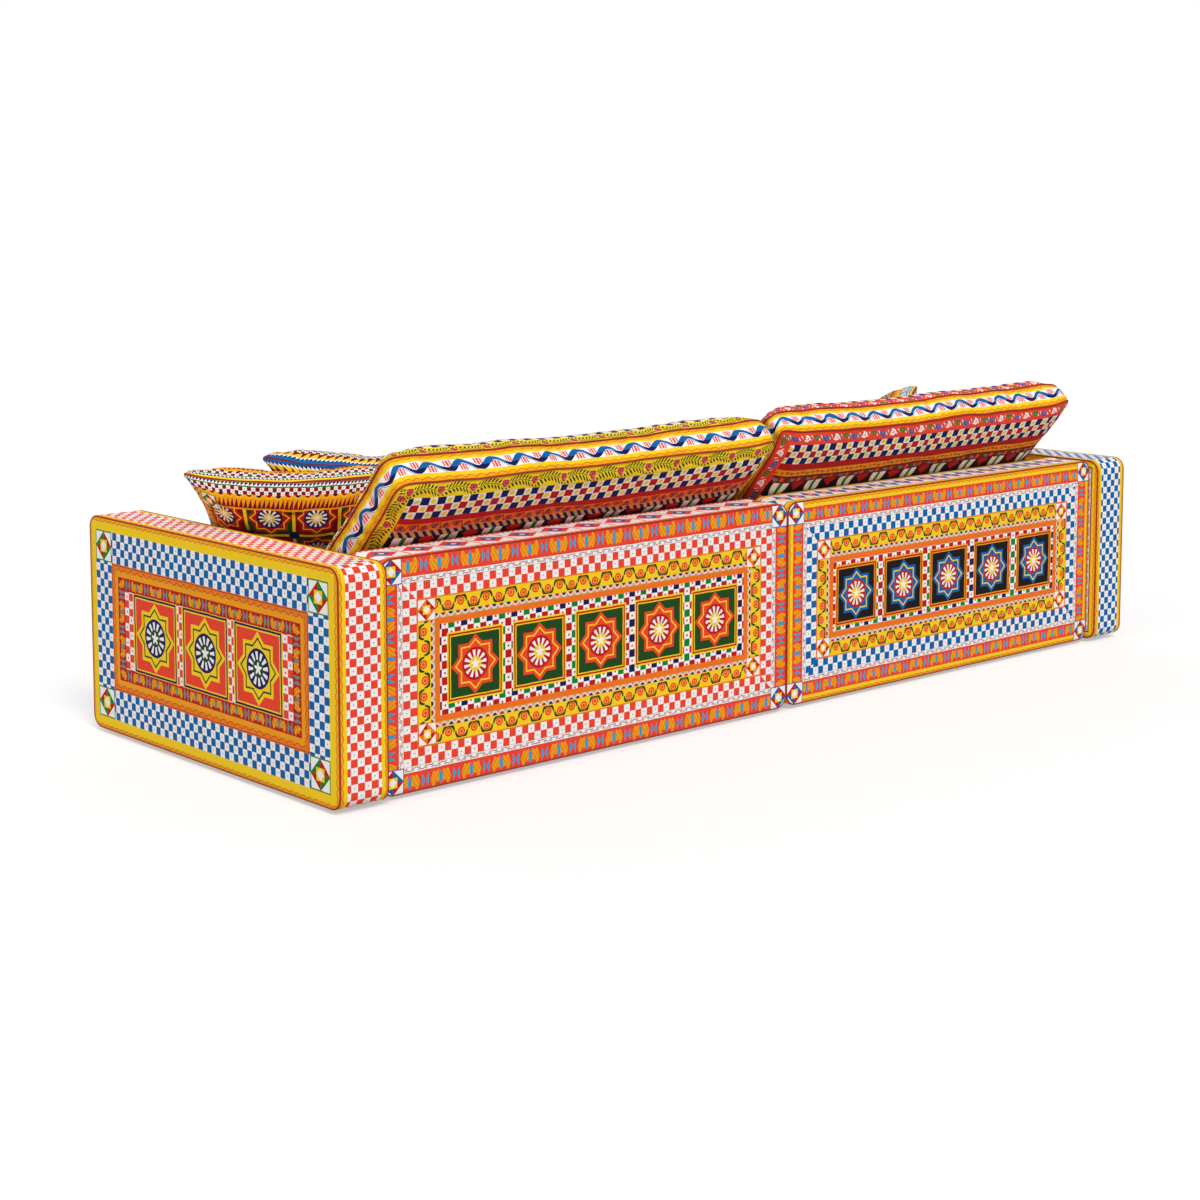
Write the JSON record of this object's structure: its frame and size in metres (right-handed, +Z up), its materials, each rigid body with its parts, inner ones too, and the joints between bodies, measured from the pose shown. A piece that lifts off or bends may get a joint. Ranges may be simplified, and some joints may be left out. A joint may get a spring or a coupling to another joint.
{
  "type": "sofa",
  "caption": "Low, wide two-module sofa in printed fabric with slab arms, a slab back, loose seat and back cushions and throw pillows.",
  "frame": {"origin": "on the floor, midway between the outer faces of the arms and midway between their front and rear ends", "axes": "+X to the right of someone facing the sofa from the front, +Y to its rear, +Z up"},
  "size_m": [3.25, 1.205, 0.8855],
  "materials": {
    "arm_cord": "satin",
    "arm_left_cover_cloth": "printed, satin",
    "arm_right_cover_cloth": "printed, satin",
    "back_cord": "satin",
    "back_cushion_left_cover_cloth": "printed, satin",
    "back_cushion_right_cover_cloth": "printed, satin",
    "back_left_cover_cloth": "printed, satin",
    "back_right_cover_cloth": "printed, satin",
    "cushion_cord": "satin",
    "cushion_fill": "matte",
    "dust_cloth": "non-woven",
    "foam": "matte",
    "front_border_cloth": "printed, satin",
    "glide_plastic": "matte",
    "nut_steel": "yellow zinc plated",
    "pillow_corner_cover_cloth": "printed, satin",
    "pillow_front_cover_cloth": "printed, satin",
    "pillow_left_cover_cloth": "printed, satin",
    "platform_cloth": "woven",
    "seat_cushion_left_cover_cloth": "printed, satin",
    "seat_cushion_right_cover_cloth": "printed, satin",
    "timber": "sawn",
    "webbing": "woven",
    "zinc_steel": "zinc plated",
    "zip": "satin"
  },
  "bodies": {
    "sofa": {"arm_right_frame": "timber", "arm_right_padding": "foam", "arm_right_cover": "arm_right_cover_cloth", "arm_right_piping": "arm_cord", "arm_left_frame": "timber", "arm_left_padding": "foam", "arm_left_cover": "arm_left_cover_cloth", "arm_left_piping": "arm_cord", "back_right_frame": "timber", "back_right_padding": "foam", "back_right_cover": "back_right_cover_cloth", "back_right_piping": "back_cord", "back_left_frame": "timber", "back_left_padding": "foam", "back_left_cover": "back_left_cover_cloth", "back_left_piping": "back_cord", "base_right_frame": "timber", "base_right_webbing": "webbing", "base_right_platform": "platform_cloth", "base_right_front": "front_border_cloth", "base_right_dust_cover": "dust_cloth", "base_left_frame": "timber", "base_left_webbing": "webbing", "base_left_platform": "platform_cloth", "base_left_front": "front_border_cloth", "base_left_dust_cover": "dust_cloth", "glides": "glide_plastic", "glide_screws": "zinc_steel", "arm_bolts": "zinc_steel", "back_bolts": "zinc_steel", "link_bolts": "zinc_steel", "insert_nuts": "nut_steel", "link_nuts": "nut_steel"},
    "seat_right": {"seat_cushion_right_core": "cushion_fill", "seat_cushion_right_cover": "seat_cushion_right_cover_cloth", "seat_cushion_right_piping": "cushion_cord", "seat_cushion_right_zip": "zip"},
    "seat_left": {"seat_cushion_left_core": "cushion_fill", "seat_cushion_left_cover": "seat_cushion_left_cover_cloth", "seat_cushion_left_piping": "cushion_cord", "seat_cushion_left_zip": "zip"},
    "back_right_cushion": {"back_cushion_right_fill": "cushion_fill", "back_cushion_right_cover": "back_cushion_right_cover_cloth", "back_cushion_right_piping": "cushion_cord", "back_cushion_right_zip": "zip"},
    "back_left_cushion": {"back_cushion_left_fill": "cushion_fill", "back_cushion_left_cover": "back_cushion_left_cover_cloth", "back_cushion_left_piping": "cushion_cord", "back_cushion_left_zip": "zip"},
    "pillow_corner": {"pillow_corner_fill": "cushion_fill", "pillow_corner_cover": "pillow_corner_cover_cloth", "pillow_corner_zip": "zip"},
    "pillow_front": {"pillow_front_fill": "cushion_fill", "pillow_front_cover": "pillow_front_cover_cloth", "pillow_front_zip": "zip"},
    "pillow_left": {"pillow_left_fill": "cushion_fill", "pillow_left_cover": "pillow_left_cover_cloth", "pillow_left_zip": "zip"}
  },
  "joints": [
    {"name": "seat_right_lift", "type": "slide", "parent": "sofa", "child": "seat_right", "axis": [0, 0, 1], "range_m": [0, 0.45]},
    {"name": "seat_left_lift", "type": "slide", "parent": "sofa", "child": "seat_left", "axis": [0, 0, 1], "range_m": [0, 0.45]},
    {"name": "back_right_lift", "type": "slide", "parent": "seat_right", "child": "back_right_cushion", "axis": [0, 0, 1], "range_m": [0, 0.3]},
    {"name": "back_left_lift", "type": "slide", "parent": "seat_left", "child": "back_left_cushion", "axis": [0, 0, 1], "range_m": [0, 0.3]},
    {"name": "pillow_corner_lift", "type": "slide", "parent": "back_right_cushion", "child": "pillow_corner", "axis": [0, 0, 1], "range_m": [0, 0.5]},
    {"name": "pillow_front_lift", "type": "slide", "parent": "pillow_corner", "child": "pillow_front", "axis": [0, 0, 1], "range_m": [0, 0.5]},
    {"name": "pillow_left_lift", "type": "slide", "parent": "back_left_cushion", "child": "pillow_left", "axis": [0, 0, 1], "range_m": [0, 0.5]}
  ]
}
